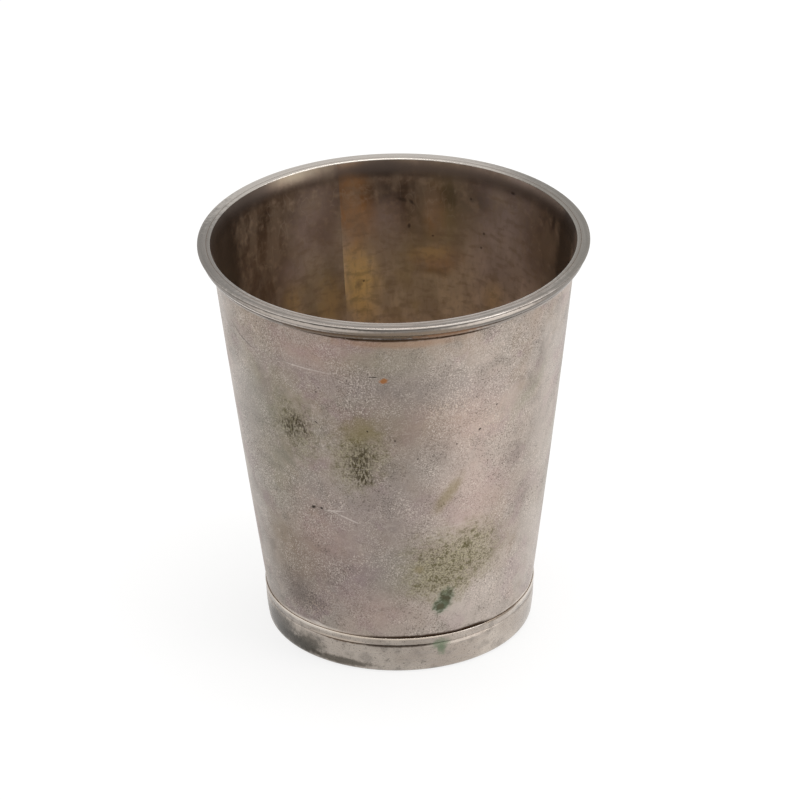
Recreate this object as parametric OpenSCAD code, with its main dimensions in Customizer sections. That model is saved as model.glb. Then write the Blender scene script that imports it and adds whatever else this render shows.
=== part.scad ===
/* [Overall] */
// Height of the cup, from the table to the top of the lip
cup_height = 88.9; // [76:0.1:102]
// Outside diameter of the lip moulding
lip_diameter = 82.6; // [74:0.1:92]
// Outside diameter of the wall where it enters the foot moulding
foot_wall_diameter = 57.4; // [50:0.1:66]

/* [Wall] */
// Thickness of the sheet, measured level
wall_thickness = 0.7; // [0.5:0.05:1]
// Height of the top part of the wall, which flares out to the lip
flare_height = 3.4; // [2.4:0.1:6]
// How far the flare leans out past the straight taper
flare_outset = 0.75; // [0.3:0.05:1.2]
// How far the wall swells past the straight taper at the middle of its height
wall_swell = 0.22; // [0:0.02:0.6]
// Radius that softens the inner edge of the lip
lip_edge_round = 0.2; // [0.05:0.05:0.4]
// Width of the soldered butt seam that closes the rolled sheet, at the lip
seam_width = 0.4; // [0.2:0.05:0.8]
// Place of the seam round the cup, in degrees from +X towards +Y
seam_angle = 108; // [0:1:359]

/* [Lip moulding] */
// Width of the flat top of the lip, sheet and moulding together
rim_width = 2.64; // [2.3:0.02:3.4]
// Height of the moulding
lip_band_height = 3.76; // [3.4:0.04:5]
// Height of the flange along the top
lip_flange_height = 0.3; // [0.24:0.02:0.44]
// Radius on the flange's outer edge
lip_flange_round = 0.16; // [0.08:0.02:0.2]
// Depth of the upper groove, in from the flange
lip_upper_groove_depth = 0.8; // [0.5:0.05:1]
// Distance from the top down to the floor of the upper groove
lip_upper_groove_drop = 0.62; // [0.5:0.02:0.9]
// Distance from the top down to the floor of the lower groove
lip_lower_groove_drop = 2.7; // [2.3:0.1:3]
// How far the floor of the lower groove stands out from the wall
lip_lower_groove_stand = 1.4; // [1:0.05:1.6]
// How far the reed swells out between the two grooves
lip_reed_rise = 0.5; // [0.2:0.05:0.6]
// How far the lower edge of the bead stands out from the wall
lip_bead_stand = 0.75; // [0.4:0.05:1]
// How far the bead swells out below the lower groove
lip_bead_rise = 0.26; // [0.1:0.02:0.35]

/* [Base] */
// Thickness of the base plate
base_thickness = 0.8; // [0.5:0.1:1.6]
// Height of the underside of the base plate above the table
base_recess = 2; // [1.7:0.1:3.5]
// Width and height of the solder fillet in the bottom corner
base_fillet = 0.8; // [0.4:0.1:1.6]

/* [Foot moulding] */
// Height of the moulding, from the table
foot_height = 8.6; // [7:0.1:12]
// How far the top edge stands out from the wall
foot_top_stand = 0.3; // [0.24:0.02:0.7]
// Radius on the top edge
foot_top_round = 0.12; // [0.06:0.02:0.14]
// Distance from the top edge down to the incised line
foot_line_drop = 1.9; // [1.2:0.1:3]
// How far the band stands out from the wall at the incised line
foot_line_stand = 0.38; // [0.34:0.02:0.8]
// Width of the incised line
foot_line_width = 0.44; // [0.2:0.02:0.8]
// Depth of the incised line
foot_line_depth = 0.2; // [0.1:0.02:0.22]
// How far the lower edge stands out from the line of the wall
foot_bottom_stand = 0.6; // [0.5:0.02:1.2]
// How far the face of the band swells below the incised line
foot_band_rise = 0.1; // [0.02:0.02:0.3]
// Radius on the outer lower edge
foot_round = 1.25; // [0.6:0.05:1.4]
// Radius on the inner lower edge
foot_inner_round = 0.4; // [0.2:0.05:0.5]
// Width of the ledge inside the wall that carries the base plate
ledge_width = 0.9; // [0.75:0.05:1.6]

/* [Solder] */
// Thickness of the solder between a moulding or plate and the wall
solder_gap = 0.1; // [0.06:0.01:0.14]
// Size of the solder fillet under the lip moulding
lip_fillet = 0.3; // [0.1:0.05:0.5]
// Depth of the crevice that the solder leaves along the top of the foot moulding
foot_crevice_depth = 0.14; // [0.05:0.01:0.3]

/* [Hidden] */

$fn = 96;
// Number of straight steps in the wall, in its flare, in a rounded corner and in a swelling face
swell_steps = 12;
flare_steps = 8;
round_steps = 4;
bow_steps = 8;

lip_radius = lip_diameter / 2;
foot_wall_radius = foot_wall_diameter / 2;
flare_start = cup_height - flare_height;
lip_bottom = cup_height - lip_band_height;
base_top = base_recess + base_thickness;
// Outside radius that the straight taper would have at the top, without the flare
taper_top_radius = lip_radius - rim_width + wall_thickness - flare_outset;
swell_height = flare_start - foot_height;
wall_levels = concat(
    [for (i = [0:swell_steps - 1]) foot_height + swell_height * i / swell_steps],
    [for (i = [0:flare_steps]) flare_start + flare_height * i / flare_steps]
);
// Depth of the hollow in the base fillet, as a share of its size
fillet_hollow_share = 0.25;
// Angle that the seam takes up, the same at every height
seam_spread = 360 * seam_width / (PI * lip_diameter);
full_turn = 360;

// Radius of the straight taper at a height
function taper_radius(z) = foot_wall_radius + (taper_top_radius - foot_wall_radius)
    * (z - foot_height) / (cup_height - foot_height);

// Share of the flare that lies below a height: 0 at its start, 1 at the lip
function flare_share(z) = max(0, (z - flare_start) / flare_height);

// Share of the swell that a height has: 1 half way up the straight wall, 0 at its ends
function swell_share(z) = let (up = (z - foot_height) / swell_height) max(0, 4 * up * (1 - up));

// Outer and inner face of the sheet: the taper, its swell, and a curve that leans out over the flare
function wall_outside(z) = taper_radius(z) + wall_swell * swell_share(z)
    + flare_outset * pow(flare_share(z), 2);
function wall_inside(z) = wall_outside(z) - wall_thickness;

// Points of a quarter circle, clockwise from a start angle
function quarter(centre, radius, start) =
    [for (i = [0:round_steps]) let (angle = start - 90 * i / round_steps)
        centre + radius * [cos(angle), sin(angle)]];

// Parabola from a to b that swells by rise to the left of its way, without its last point
function bow(a, b, rise) = let (across = [a.y - b.y, b.x - a.x] / norm(b - a))
    [for (i = [0:bow_steps - 1]) let (t = i / bow_steps)
        a + (b - a) * t + across * 4 * rise * t * (1 - t)];

// Points up the outer face of the sheet, moved outwards, above a height
function wall_face(offset, above) =
    [for (z = wall_levels) if (z > above) [wall_outside(z) + offset, z]];

function reversed(points) = [for (i = [len(points) - 1:-1:0]) points[i]];

// Section of the sheet: up the inside, over the lip, down the outside
module wall_section() {
    edge_level = cup_height - lip_edge_round;
    polygon(concat(
        [[wall_inside(base_recess), base_recess]],
        [for (z = wall_levels) if (z < edge_level) [wall_inside(z), z]],
        quarter([wall_inside(edge_level) + lip_edge_round, edge_level], lip_edge_round, 180),
        reversed(wall_face(0, base_recess)),
        [[wall_outside(base_recess), base_recess]]
    ));
}

// The rolled sheet, open by the width of its seam
module body_wall() {
    color("#9c938c")
        rotate([0, 0, seam_angle + seam_spread / 2])
            rotate_extrude(angle = full_turn - seam_spread)
                wall_section();
}

// Solder that fills the seam flush with the sheet
module seam_solder() {
    color("#8d8880")
        rotate([0, 0, seam_angle - seam_spread / 2])
            rotate_extrude(angle = seam_spread)
                wall_section();
}

// Reeded ring round the flare. Its bore follows the flare, and its top is flush with the sheet
module lip_moulding() {
    flange_foot = [lip_radius, cup_height - lip_flange_height];
    upper_groove = [lip_radius - lip_upper_groove_depth, cup_height - lip_upper_groove_drop];
    lower_groove_level = cup_height - lip_lower_groove_drop;
    lower_groove = [wall_outside(lower_groove_level) + lip_lower_groove_stand, lower_groove_level];
    bead_foot = [wall_outside(lip_bottom) + solder_gap + lip_bead_stand, lip_bottom];
    color("#a49c95")
        rotate_extrude()
            polygon(concat(
                [[wall_outside(lip_bottom) + solder_gap, lip_bottom]],
                wall_face(solder_gap, lip_bottom),
                quarter([lip_radius, cup_height] - lip_flange_round * [1, 1], lip_flange_round, 90),
                [flange_foot],
                bow(upper_groove, lower_groove, lip_reed_rise),
                bow(lower_groove, bead_foot, lip_bead_rise),
                [bead_foot]
            ));
}

// Solder between the flare and the ring, with a fillet under the ring
module lip_solder() {
    fillet_foot = [wall_outside(lip_bottom - lip_fillet), lip_bottom - lip_fillet];
    fillet_edge = [wall_outside(lip_bottom) + solder_gap + lip_fillet, lip_bottom];
    color("#6f675c")
        rotate_extrude()
            polygon(concat(
                [fillet_foot],
                wall_face(0, fillet_foot.y),
                reversed(wall_face(solder_gap, lip_bottom)),
                [[wall_outside(lip_bottom) + solder_gap, lip_bottom]],
                [fillet_edge]
            ));
}

// Disc that closes the bottom. It stands on the ledge inside the foot moulding
module base_plate() {
    color("#8f8378")
        translate([0, 0, base_recess])
            cylinder(h = base_thickness, r = wall_inside(base_recess) - solder_gap);
}

// Solder round the rim of the disc, with a hollow fillet up the wall
module base_solder() {
    plate_radius = wall_inside(base_recess) - solder_gap;
    fillet_top = [wall_inside(base_top + base_fillet), base_top + base_fillet];
    fillet_foot = [plate_radius - base_fillet, base_top];
    color("#7b7166")
        rotate_extrude()
            polygon(concat(
                [[plate_radius, base_recess], [plate_radius, base_top]],
                bow(fillet_foot, fillet_top, -base_fillet * fillet_hollow_share),
                [fillet_top],
                [[wall_inside(base_recess), base_recess]]
            ));
}

// Band round the foot. The wall and the disc stand in its rebate
module foot_moulding() {
    ledge_inner_radius = wall_inside(base_recess) - ledge_width;
    top_radius = wall_outside(foot_height) + foot_top_stand;
    line_level = foot_height - foot_line_drop;
    line_radius = wall_outside(line_level) + foot_line_stand;
    line_top = [line_radius, line_level + foot_line_width / 2];
    line_floor = [line_radius - foot_line_depth, line_level];
    line_foot = [line_radius, line_level - foot_line_width / 2];
    band_foot = [taper_radius(foot_round) + foot_bottom_stand, foot_round];
    color("#a0978f")
        rotate_extrude()
            polygon(concat(
                [[ledge_inner_radius, base_recess]],
                [[wall_outside(base_recess) + solder_gap, base_recess]],
                [[wall_outside(foot_height) + solder_gap, foot_height]],
                quarter([top_radius, foot_height] - foot_top_round * [1, 1], foot_top_round, 90),
                [line_top, line_floor],
                bow(line_foot, band_foot, foot_band_rise),
                quarter([band_foot.x - foot_round, foot_round], foot_round, 0),
                quarter([ledge_inner_radius, 0] + foot_inner_round * [1, 1], foot_inner_round, -90)
            ));
}

// Solder between the wall and the foot moulding, up to the crevice along its top
module foot_solder() {
    solder_top = foot_height - foot_crevice_depth;
    color("#6f675c")
        rotate_extrude()
            polygon([
                [wall_outside(base_recess), base_recess],
                [wall_outside(solder_top), solder_top],
                [wall_outside(solder_top) + solder_gap, solder_top],
                [wall_outside(base_recess) + solder_gap, base_recess]
            ]);
}

body_wall();
seam_solder();
lip_moulding();
lip_solder();
base_plate();
base_solder();
foot_moulding();
foot_solder();
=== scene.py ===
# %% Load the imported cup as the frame
import math
from collections import namedtuple

import bmesh
import bpy
from mathutils import Matrix, Vector


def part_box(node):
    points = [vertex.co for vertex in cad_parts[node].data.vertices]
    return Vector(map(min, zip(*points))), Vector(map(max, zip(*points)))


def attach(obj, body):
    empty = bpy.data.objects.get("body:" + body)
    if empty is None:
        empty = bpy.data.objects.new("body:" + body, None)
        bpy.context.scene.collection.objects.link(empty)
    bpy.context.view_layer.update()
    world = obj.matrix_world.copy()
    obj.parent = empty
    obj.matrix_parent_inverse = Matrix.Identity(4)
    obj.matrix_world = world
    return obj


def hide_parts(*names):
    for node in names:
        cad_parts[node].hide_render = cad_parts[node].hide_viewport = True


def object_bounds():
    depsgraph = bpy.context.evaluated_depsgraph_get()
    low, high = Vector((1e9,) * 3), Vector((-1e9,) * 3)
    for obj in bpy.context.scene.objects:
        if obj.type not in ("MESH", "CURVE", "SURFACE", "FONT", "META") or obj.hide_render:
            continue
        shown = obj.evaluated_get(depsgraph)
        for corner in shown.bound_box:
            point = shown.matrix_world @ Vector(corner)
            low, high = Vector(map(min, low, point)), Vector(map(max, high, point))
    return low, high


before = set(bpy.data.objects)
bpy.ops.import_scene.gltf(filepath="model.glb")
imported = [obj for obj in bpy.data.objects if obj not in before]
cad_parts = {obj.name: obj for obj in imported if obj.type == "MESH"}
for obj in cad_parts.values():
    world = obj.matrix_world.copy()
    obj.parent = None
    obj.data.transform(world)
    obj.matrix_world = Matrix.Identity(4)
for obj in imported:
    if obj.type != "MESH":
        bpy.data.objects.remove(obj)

MM = 0.001
cad_low, cad_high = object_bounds()
cup_height = cad_high.z
print("The cup stands", round(cup_height / MM, 1), "mm high")

# %% [markdown]
# Julep cup
#
# The real cup is a small beaker of coin silver, nine parts silver to one part copper. Its wall is
# one piece of sheet, rolled up and closed by a soldered seam. A reeded wire stiffens the lip, a
# plain band makes the foot, and a disc closes the bottom. Every piece is round about one axis, so
# every piece can be made as a silversmith turns a moulding: draw its section once, then spin it.
# A lathe of curves or a Screw modifier would do the same, but a spun mesh can be dented by hand
# afterwards, and its inner and outer skins can take different tarnish.

# %% Sizes read from the frame
lip_low, lip_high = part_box("lip_moulding")
plate_low, plate_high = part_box("base_plate")

lip_radius = lip_high.x
lip_bottom = lip_low.z
lip_fillet = lip_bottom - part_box("lip_solder")[0].z
foot_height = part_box("foot_moulding")[1].z
base_recess = plate_low.z
base_top = plate_high.z
base_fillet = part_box("base_solder")[1].z - base_top
plate_radius = plate_high.x
print("Lip radius", round(lip_radius / MM, 2), "mm, foot", round(foot_height / MM, 2), "mm high")

# %% [markdown]
# The line of the wall
#
# The sheet leans out steadily from the foot, swells a hair's breadth on the way, and flares where
# it meets the lip. Two small functions give its outer and inner face at any height. Everything
# that touches the wall asks them, so nothing has to be fitted afterwards.

# %% The line of the wall
foot_wall_radius = 28.7 * MM
wall_thickness = 0.7 * MM
rim_width = 2.64 * MM
flare_height = 3.4 * MM
flare_outset = 0.75 * MM
wall_swell = 0.22 * MM
solder_gap = 0.1 * MM
flare_start = cup_height - flare_height
taper_top_radius = lip_radius - rim_width + wall_thickness - flare_outset


def taper_radius(z):
    """Radius of the straight taper at a height."""
    slope = (taper_top_radius - foot_wall_radius) / (cup_height - foot_height)
    return foot_wall_radius + slope * (z - foot_height)


def wall_outside(z):
    """Outer radius of the sheet: the taper, its swell, and the flare at the lip."""
    up = (z - foot_height) / (flare_start - foot_height)
    swell = wall_swell * max(0, 4 * up * (1 - up))
    flare = flare_outset * max(0, (z - flare_start) / flare_height) ** 2
    return taper_radius(z) + swell + flare


def wall_inside(z):
    """Inner radius of the sheet."""
    return wall_outside(z) - wall_thickness


print("Wall radius at the foot", round(wall_outside(foot_height) / MM, 2), "mm")

# %% [markdown]
# Drawing a section and spinning it
#
# A section is a list of points, radius and height. The first point is a plane merged to a single
# vertex, and each extrusion of it draws the next edge. Round stretches come from two helpers: a
# quarter circle for a worn edge, and a bow, a shallow parabola, for the swelling face of a reed.
# Spin then turns the section about the axis. The ends of a full turn meet and are merged. A part
# turn is open, so its ends are filled. Normals are made consistent last, because only a closed
# skin has an outside.

# %% Round stretches of a section
ROUND_STEPS = 6
BOW_STEPS = 14


def quarter(centre, radius, start):
    """Points of a quarter circle, clockwise from a start angle in degrees."""
    angles = [math.radians(start - 90 * i / ROUND_STEPS) for i in range(ROUND_STEPS + 1)]
    return [(centre[0] + radius * math.cos(a), centre[1] + radius * math.sin(a)) for a in angles]


def bow(start, end, rise):
    """Parabola from start to end that swells by rise to the left of its way, without its last point."""
    way = Vector(end) - Vector(start)
    left = Vector((-way.y, way.x)).normalized()
    shares = [i / BOW_STEPS for i in range(BOW_STEPS)]
    points = [Vector(start) + way * t + left * 4 * rise * t * (1 - t) for t in shares]
    return [(p.x, p.y) for p in points]


print("A quarter circle takes", ROUND_STEPS, "steps and a bow", BOW_STEPS)

# %% Sections, traced and spun
DOUBLES = 0.0005 * MM
TURN_STEPS = 360
SMOOTH_ANGLE = math.radians(38)
# Spin turns clockwise about its axis, so an axis that points down turns from +X towards +Y
SPIN_AXIS = (0, 0, -1)


def outwards(azimuth):
    """Unit vector that points away from the cup's axis at an azimuth."""
    return Vector((math.cos(azimuth), math.sin(azimuth), 0))


def trace(name, outline, azimuth=0.0):
    """Draws a closed section in the upright plane at an azimuth, by extruding one vertex."""
    corners = [outwards(azimuth) * radius + Vector((0, 0, height)) for radius, height in outline]
    bpy.ops.mesh.primitive_plane_add(size=MM, location=corners[0])
    bpy.ops.object.transform_apply(location=True)
    piece = bpy.context.object
    piece.name = name
    piece.data.name = name
    bpy.ops.object.mode_set(mode="EDIT")
    bpy.ops.mesh.select_mode(type="VERT")
    bpy.ops.mesh.select_all(action="SELECT")
    bpy.ops.mesh.merge(type="CENTER")
    for here, there in zip(corners, corners[1:] + corners[:1]):
        bpy.ops.mesh.extrude_region_move(TRANSFORM_OT_translate={"value": there - here})
    bpy.ops.mesh.select_all(action="SELECT")
    bpy.ops.mesh.remove_doubles(threshold=DOUBLES)
    return piece


def spin(piece, steps=TURN_STEPS, angle=math.tau):
    """Turns the traced section about the cup's axis and closes what is open."""
    bpy.ops.mesh.select_all(action="SELECT")
    bpy.ops.mesh.spin(steps=steps, angle=angle, center=(0, 0, 0), axis=SPIN_AXIS)
    bpy.ops.mesh.select_all(action="SELECT")
    bpy.ops.mesh.remove_doubles(threshold=DOUBLES)
    bpy.ops.mesh.fill_holes(sides=0)
    bpy.ops.mesh.normals_make_consistent(inside=False)
    bpy.ops.object.mode_set(mode="OBJECT")
    bpy.ops.object.shade_smooth_by_angle(angle=SMOOTH_ANGLE)
    print(piece.name, "has", len(piece.data.polygons), "faces")
    return piece


def edit(piece):
    """Makes a piece the only one selected and opens it in edit mode."""
    bpy.ops.object.select_all(action="DESELECT")
    piece.select_set(True)
    bpy.context.view_layer.objects.active = piece
    bpy.ops.object.mode_set(mode="EDIT")


# %% [markdown]
# The sheet
#
# On the real cup the sheet was cut, rolled, soldered and planished over a stake. Its section runs
# up the inside, over a softened edge, and down the outside, with one fine line scribed round it
# below the lip. The spin stops short of a full turn by the width of the seam.

# %% The sheet
SWELL_STEPS = 44
FLARE_STEPS = 12
SEAM_STEPS = 2
lip_edge_round = 0.2 * MM
seam_azimuth = math.radians(108)
seam_spread = 0.4 * MM / lip_radius
scribed_height = 75.3 * MM
scribed_width = 0.24 * MM
scribed_depth = 0.03 * MM

wall_levels = [foot_height + (flare_start - foot_height) * i / SWELL_STEPS for i in range(SWELL_STEPS)]
wall_levels += [flare_start + flare_height * i / FLARE_STEPS for i in range(FLARE_STEPS + 1)]
edge_level = cup_height - lip_edge_round

inner_line = [(wall_inside(z), z) for z in [base_recess] + wall_levels if z < edge_level]
lip_edge = quarter((wall_inside(edge_level) + lip_edge_round, edge_level), lip_edge_round, 180)
clear_levels = [z for z in wall_levels if abs(z - scribed_height) > scribed_width]
outer_line = [(wall_outside(z), z) for z in [base_recess] + clear_levels]
outer_line += [(wall_outside(scribed_height) - scribed_depth, scribed_height)]
outer_line += [(wall_outside(z), z) for z in (scribed_height - scribed_width / 2,
                                              scribed_height + scribed_width / 2)]
outer_line.sort(key=lambda point: -point[1])
sheet_section = inner_line + lip_edge + outer_line

sheet = trace("silver_sheet", sheet_section, seam_azimuth + seam_spread / 2)
spin(sheet, TURN_STEPS, math.tau - seam_spread)

seam = trace("seam_of_solder", sheet_section, seam_azimuth - seam_spread / 2)
spin(seam, SEAM_STEPS, seam_spread)

# %% [markdown]
# Dings
#
# A cup that has been carried about for a century and a half isn't perfectly round. A few shallow
# dings are pushed into the sheet by moving one vertex with proportional editing, which is what a
# fingertip or a table edge does to thin silver. They stay under a third of a millimetre, and clear
# of the mouldings, which are too stiff to give.

# %% Dings in the sheet
# A ding's azimuth is in degrees, and the rest in millimetres
Ding = namedtuple("Ding", "azimuth height depth reach")
dings = [
    Ding(-30, 60, 0.22, 13), Ding(-142, 47, 0.14, 12), Ding(-75, 36, 0.1, 15),
    Ding(20, 30, 0.25, 10), Ding(75, 52, 0.2, 14), Ding(165, 34, 0.24, 12), Ding(205, 62, 0.12, 11),
]

edit(sheet)
for ding in dings:
    away = outwards(math.radians(ding.azimuth))
    target = away * wall_outside(ding.height * MM) + Vector((0, 0, ding.height * MM))
    bpy.ops.mesh.select_all(action="DESELECT")
    skin = bmesh.from_edit_mesh(sheet.data)
    nearest = min(skin.verts, key=lambda vertex: (vertex.co - target).length)
    nearest.select = True
    skin.select_flush_mode()
    bpy.ops.transform.translate(
        value=away * -ding.depth * MM, use_proportional_edit=True,
        proportional_edit_falloff="SMOOTH", proportional_size=ding.reach * MM)
bpy.ops.object.mode_set(mode="OBJECT")
print(len(dings), "dings pressed into the sheet")

# %% [markdown]
# The lip moulding and its solder
#
# The lip wire was pulled through a shaped plate, bent into a ring and soldered round the flare. Its
# outline holds all that makes a julep cup's lip: a flat top, a thin flange, a dark groove, a broad
# reed, a second groove and a bead. Solder fills the gap behind it and shows as a small fillet
# below.

# %% The lip moulding and its solder
flange_height = 0.3 * MM
flange_round = 0.16 * MM
upper_groove_depth = 0.8 * MM
upper_groove_drop = 0.62 * MM
lower_groove_drop = 2.7 * MM
lower_groove_stand = 1.4 * MM
reed_rise = 0.5 * MM
bead_stand = 0.75 * MM
bead_rise = 0.26 * MM


def wall_face(offset, above):
    """Points up the outer face of the sheet, moved outwards, above a height."""
    return [(wall_outside(z) + offset, z) for z in wall_levels if z > above]


flange_corner = (lip_radius - flange_round, cup_height - flange_round)
flange_foot = (lip_radius, cup_height - flange_height)
upper_groove = (lip_radius - upper_groove_depth, cup_height - upper_groove_drop)
lower_groove_level = cup_height - lower_groove_drop
lower_groove = (wall_outside(lower_groove_level) + lower_groove_stand, lower_groove_level)
ring_bore_foot = (wall_outside(lip_bottom) + solder_gap, lip_bottom)
bead_foot = (ring_bore_foot[0] + bead_stand, lip_bottom)

lip_section = [ring_bore_foot] + wall_face(solder_gap, lip_bottom)
lip_section += quarter(flange_corner, flange_round, 90) + [flange_foot]
lip_section += bow(upper_groove, lower_groove, reed_rise) + bow(lower_groove, bead_foot, bead_rise)
lip_section += [bead_foot]
lip = spin(trace("lip_wire", lip_section))

fillet_foot_level = lip_bottom - lip_fillet
lip_solder_section = [(wall_outside(fillet_foot_level), fillet_foot_level)]
lip_solder_section += wall_face(0, fillet_foot_level)
lip_solder_section += wall_face(solder_gap, lip_bottom)[::-1]
lip_solder_section += [ring_bore_foot, (ring_bore_foot[0] + lip_fillet, lip_bottom)]
lip_solder = spin(trace("lip_run_of_solder", lip_solder_section))

# %% [markdown]
# The foot moulding and its solder
#
# The foot is a band with a rebate cut inside it, where the wall and the disc stand. Outside it has
# a crisp top edge, one incised line, a face that swells a little and a well-worn lower edge.

# %% The foot moulding and its solder
ledge_width = 0.9 * MM
top_stand = 0.3 * MM
top_round = 0.12 * MM
line_drop = 1.9 * MM
line_stand = 0.38 * MM
line_width = 0.44 * MM
line_depth = 0.2 * MM
bottom_stand = 0.6 * MM
band_rise = 0.1 * MM
foot_round = 1.25 * MM
inner_round = 0.4 * MM
crevice_depth = 0.14 * MM

ledge_inner_radius = wall_inside(base_recess) - ledge_width
top_corner = (wall_outside(foot_height) + top_stand - top_round, foot_height - top_round)
line_level = foot_height - line_drop
line_radius = wall_outside(line_level) + line_stand
band_foot = (taper_radius(foot_round) + bottom_stand, foot_round)

foot_section = [(ledge_inner_radius, base_recess)]
foot_section += [(wall_outside(base_recess) + solder_gap, base_recess)]
foot_section += [(wall_outside(foot_height) + solder_gap, foot_height)]
foot_section += quarter(top_corner, top_round, 90)
foot_section += [(line_radius, line_level + line_width / 2), (line_radius - line_depth, line_level)]
foot_section += bow((line_radius, line_level - line_width / 2), band_foot, band_rise)
foot_section += quarter((band_foot[0] - foot_round, foot_round), foot_round, 0)
foot_section += quarter((ledge_inner_radius + inner_round, inner_round), inner_round, -90)
foot = spin(trace("foot_band", foot_section))

solder_top = foot_height - crevice_depth
foot_solder_section = [
    (wall_outside(base_recess), base_recess), (wall_outside(solder_top), solder_top),
    (wall_outside(solder_top) + solder_gap, solder_top),
    (wall_outside(base_recess) + solder_gap, base_recess),
]
foot_solder = spin(trace("foot_run_of_solder", foot_solder_section))

# %% [markdown]
# The bottom disc and its solder
#
# The disc starts as a cylinder. Its rim is bevelled where it was filed to fit, its two faces are
# inset in rings so that they can sag a little, as sheet does when it is soldered red hot, and a
# punch mark is left at the centre, where the compass stood when the disc was struck out.

# %% The bottom disc and its solder
DISC_SIDES = 180
RINGS = 6
rim_bevel = 0.12 * MM
disc_sag = 0.12 * MM
punch_radius = 0.5 * MM
punch_depth = 0.25 * MM
# The rings cover all of a face but its middle
RINGS_SHARE = 0.92
MIDDLE_SHARE = 0.07
PUNCH_FOOT_SHARE = 0.9
FILLET_HOLLOW_SHARE = 0.25
# A face lies level where the height of its normal is over this
LEVEL = 0.9


def select_by(piece, test):
    """Selects the faces of the piece in edit mode that pass the test, and nothing else."""
    bpy.ops.mesh.select_mode(type="FACE")
    bpy.ops.mesh.select_all(action="DESELECT")
    skin = bmesh.from_edit_mesh(piece.data)
    for face in skin.faces:
        face.select = test(face)
    skin.select_flush_mode()
    bmesh.update_edit_mesh(piece.data)


bpy.ops.mesh.primitive_cylinder_add(
    vertices=DISC_SIDES, radius=plate_radius, depth=base_top - base_recess,
    location=(0, 0, (base_top + base_recess) / 2))
bpy.ops.object.transform_apply(location=True)
disc = bpy.context.object
disc.name = "bottom_disc"
disc.data.name = "bottom_disc"
bpy.ops.object.mode_set(mode="EDIT")
select_by(disc, lambda face: abs(face.normal.z) > LEVEL)
bpy.ops.mesh.bevel(offset=rim_bevel, segments=2, affect="EDGES")
for side in (-1, 1):
    select_by(disc, lambda face: face.normal.z * side > LEVEL and len(face.verts) == DISC_SIDES)
    for ring in range(RINGS):
        sag = disc_sag * (RINGS - ring) / sum(range(RINGS + 1))
        bpy.ops.mesh.inset(thickness=(plate_radius - rim_bevel) * RINGS_SHARE / RINGS)
        bpy.ops.transform.translate(value=(0, 0, -sag))
select_by(disc, lambda face: face.normal.z < -LEVEL and len(face.verts) == DISC_SIDES)
bpy.ops.mesh.inset(thickness=plate_radius * MIDDLE_SHARE - punch_radius)
bpy.ops.mesh.inset(thickness=punch_radius * PUNCH_FOOT_SHARE, depth=-punch_depth)
bpy.ops.object.mode_set(mode="OBJECT")
bpy.ops.object.shade_smooth_by_angle(angle=SMOOTH_ANGLE)

fillet_foot = (plate_radius - base_fillet, base_top)
fillet_top = (wall_inside(base_top + base_fillet), base_top + base_fillet)
disc_solder_section = [(plate_radius, base_recess), (plate_radius, base_top)]
disc_solder_section += bow(fillet_foot, fillet_top, -base_fillet * FILLET_HOLLOW_SHARE)
disc_solder_section += [fillet_top, (wall_inside(base_recess), base_recess)]
disc_solder = spin(trace("disc_run_of_solder", disc_solder_section))

# %% [markdown]
# Materials from nodes
#
# Each finish is a node tree. One function adds a node, sets its choices and fills or links its
# sockets. Colours are written as sRGB hex, as a picture shows them, and turned to the linear
# values that light is reckoned in. Patterns are measured in millimetres, in two ways: in the solid,
# for cloudy stains that know nothing of direction, and on the wall as if it were cut along its
# seam and laid flat, for scratches and stains that have a place.

# %% Node helpers
def add(kind, choices, sockets, out=0, tree=None):
    """Adds a node, sets its choices, fills or links its sockets, and returns an output or the node.

    It goes into the tree of the sockets that it is linked to, so only a node without links names one.
    """
    linked = [value for value in sockets.values() if isinstance(value, bpy.types.NodeSocket)]
    tree = tree or linked[0].id_data
    made = tree.nodes.new("ShaderNode" + kind)
    for name, value in choices.items():
        setattr(made, name, value)
    for key, value in sockets.items():
        if value in linked:
            tree.links.new(value, made.inputs[key])
        else:
            made.inputs[key].default_value = value
    return made.outputs[out] if made.outputs and out is not None else made


def linear(code):
    """Turns an sRGB hex colour to linear values."""
    shares = [int(code[i:i + 2], 16) / 255 for i in (1, 3, 5)]
    return [c / 12.92 if c <= 0.04045 else ((c + 0.055) / 1.055) ** 2.4 for c in shares] + [1]


def reckon(operation, *terms):
    """A number worked out from up to three others."""
    return add("Math", {"operation": operation}, dict(enumerate(terms)))


def times(first, second):
    """Product of two masks, or of a mask and a number."""
    return reckon("MULTIPLY", first, second)


def distance_from(value, middle):
    """How far a value lies from a middle value, on either side."""
    return reckon("ABSOLUTE", reckon("SUBTRACT", value, middle))


def ramp(value, start, end, strength=1.0, kind="SMOOTHSTEP"):
    """A mask: 0 where the value is at start, rising or falling to its strength at end."""
    return add("MapRange", {"interpolation_type": kind},
               {"Value": value, "From Min": start, "From Max": end, "To Max": strength})


def between(mask, low, high):
    """Turns a mask into a number that is low where the mask is 0 and high where it is 1."""
    return add("MapRange", {}, {"Value": mask, "To Min": low, "To Max": high})


# %% Places and patterns
# Like the patterns, these are in millimetres
WALL_MIDDLE_RADIUS = 34.0
TOP = cup_height / MM
LIP_FOOT = lip_bottom / MM
LIP_EDGE = lip_radius / MM
FOOT_TOP = foot_height / MM
FOOT_LINE = line_level / MM
print("The wall's pattern runs from", round(FOOT_TOP, 1), "to", round(TOP, 1), "mm above the table")


def axes(place):
    """The three numbers of a place."""
    return add("SeparateXYZ", {}, {"Vector": place}, out=None).outputs


def flat_place(across, up):
    """A place on something laid flat, from two numbers."""
    return add("CombineXYZ", {}, {"X": across, "Y": up})


def mapped(place, **changes):
    """A place moved, turned or scaled, so that patterns on it are, too."""
    return add("Mapping", {"vector_type": "POINT"}, {"Vector": place, **changes})


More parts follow.
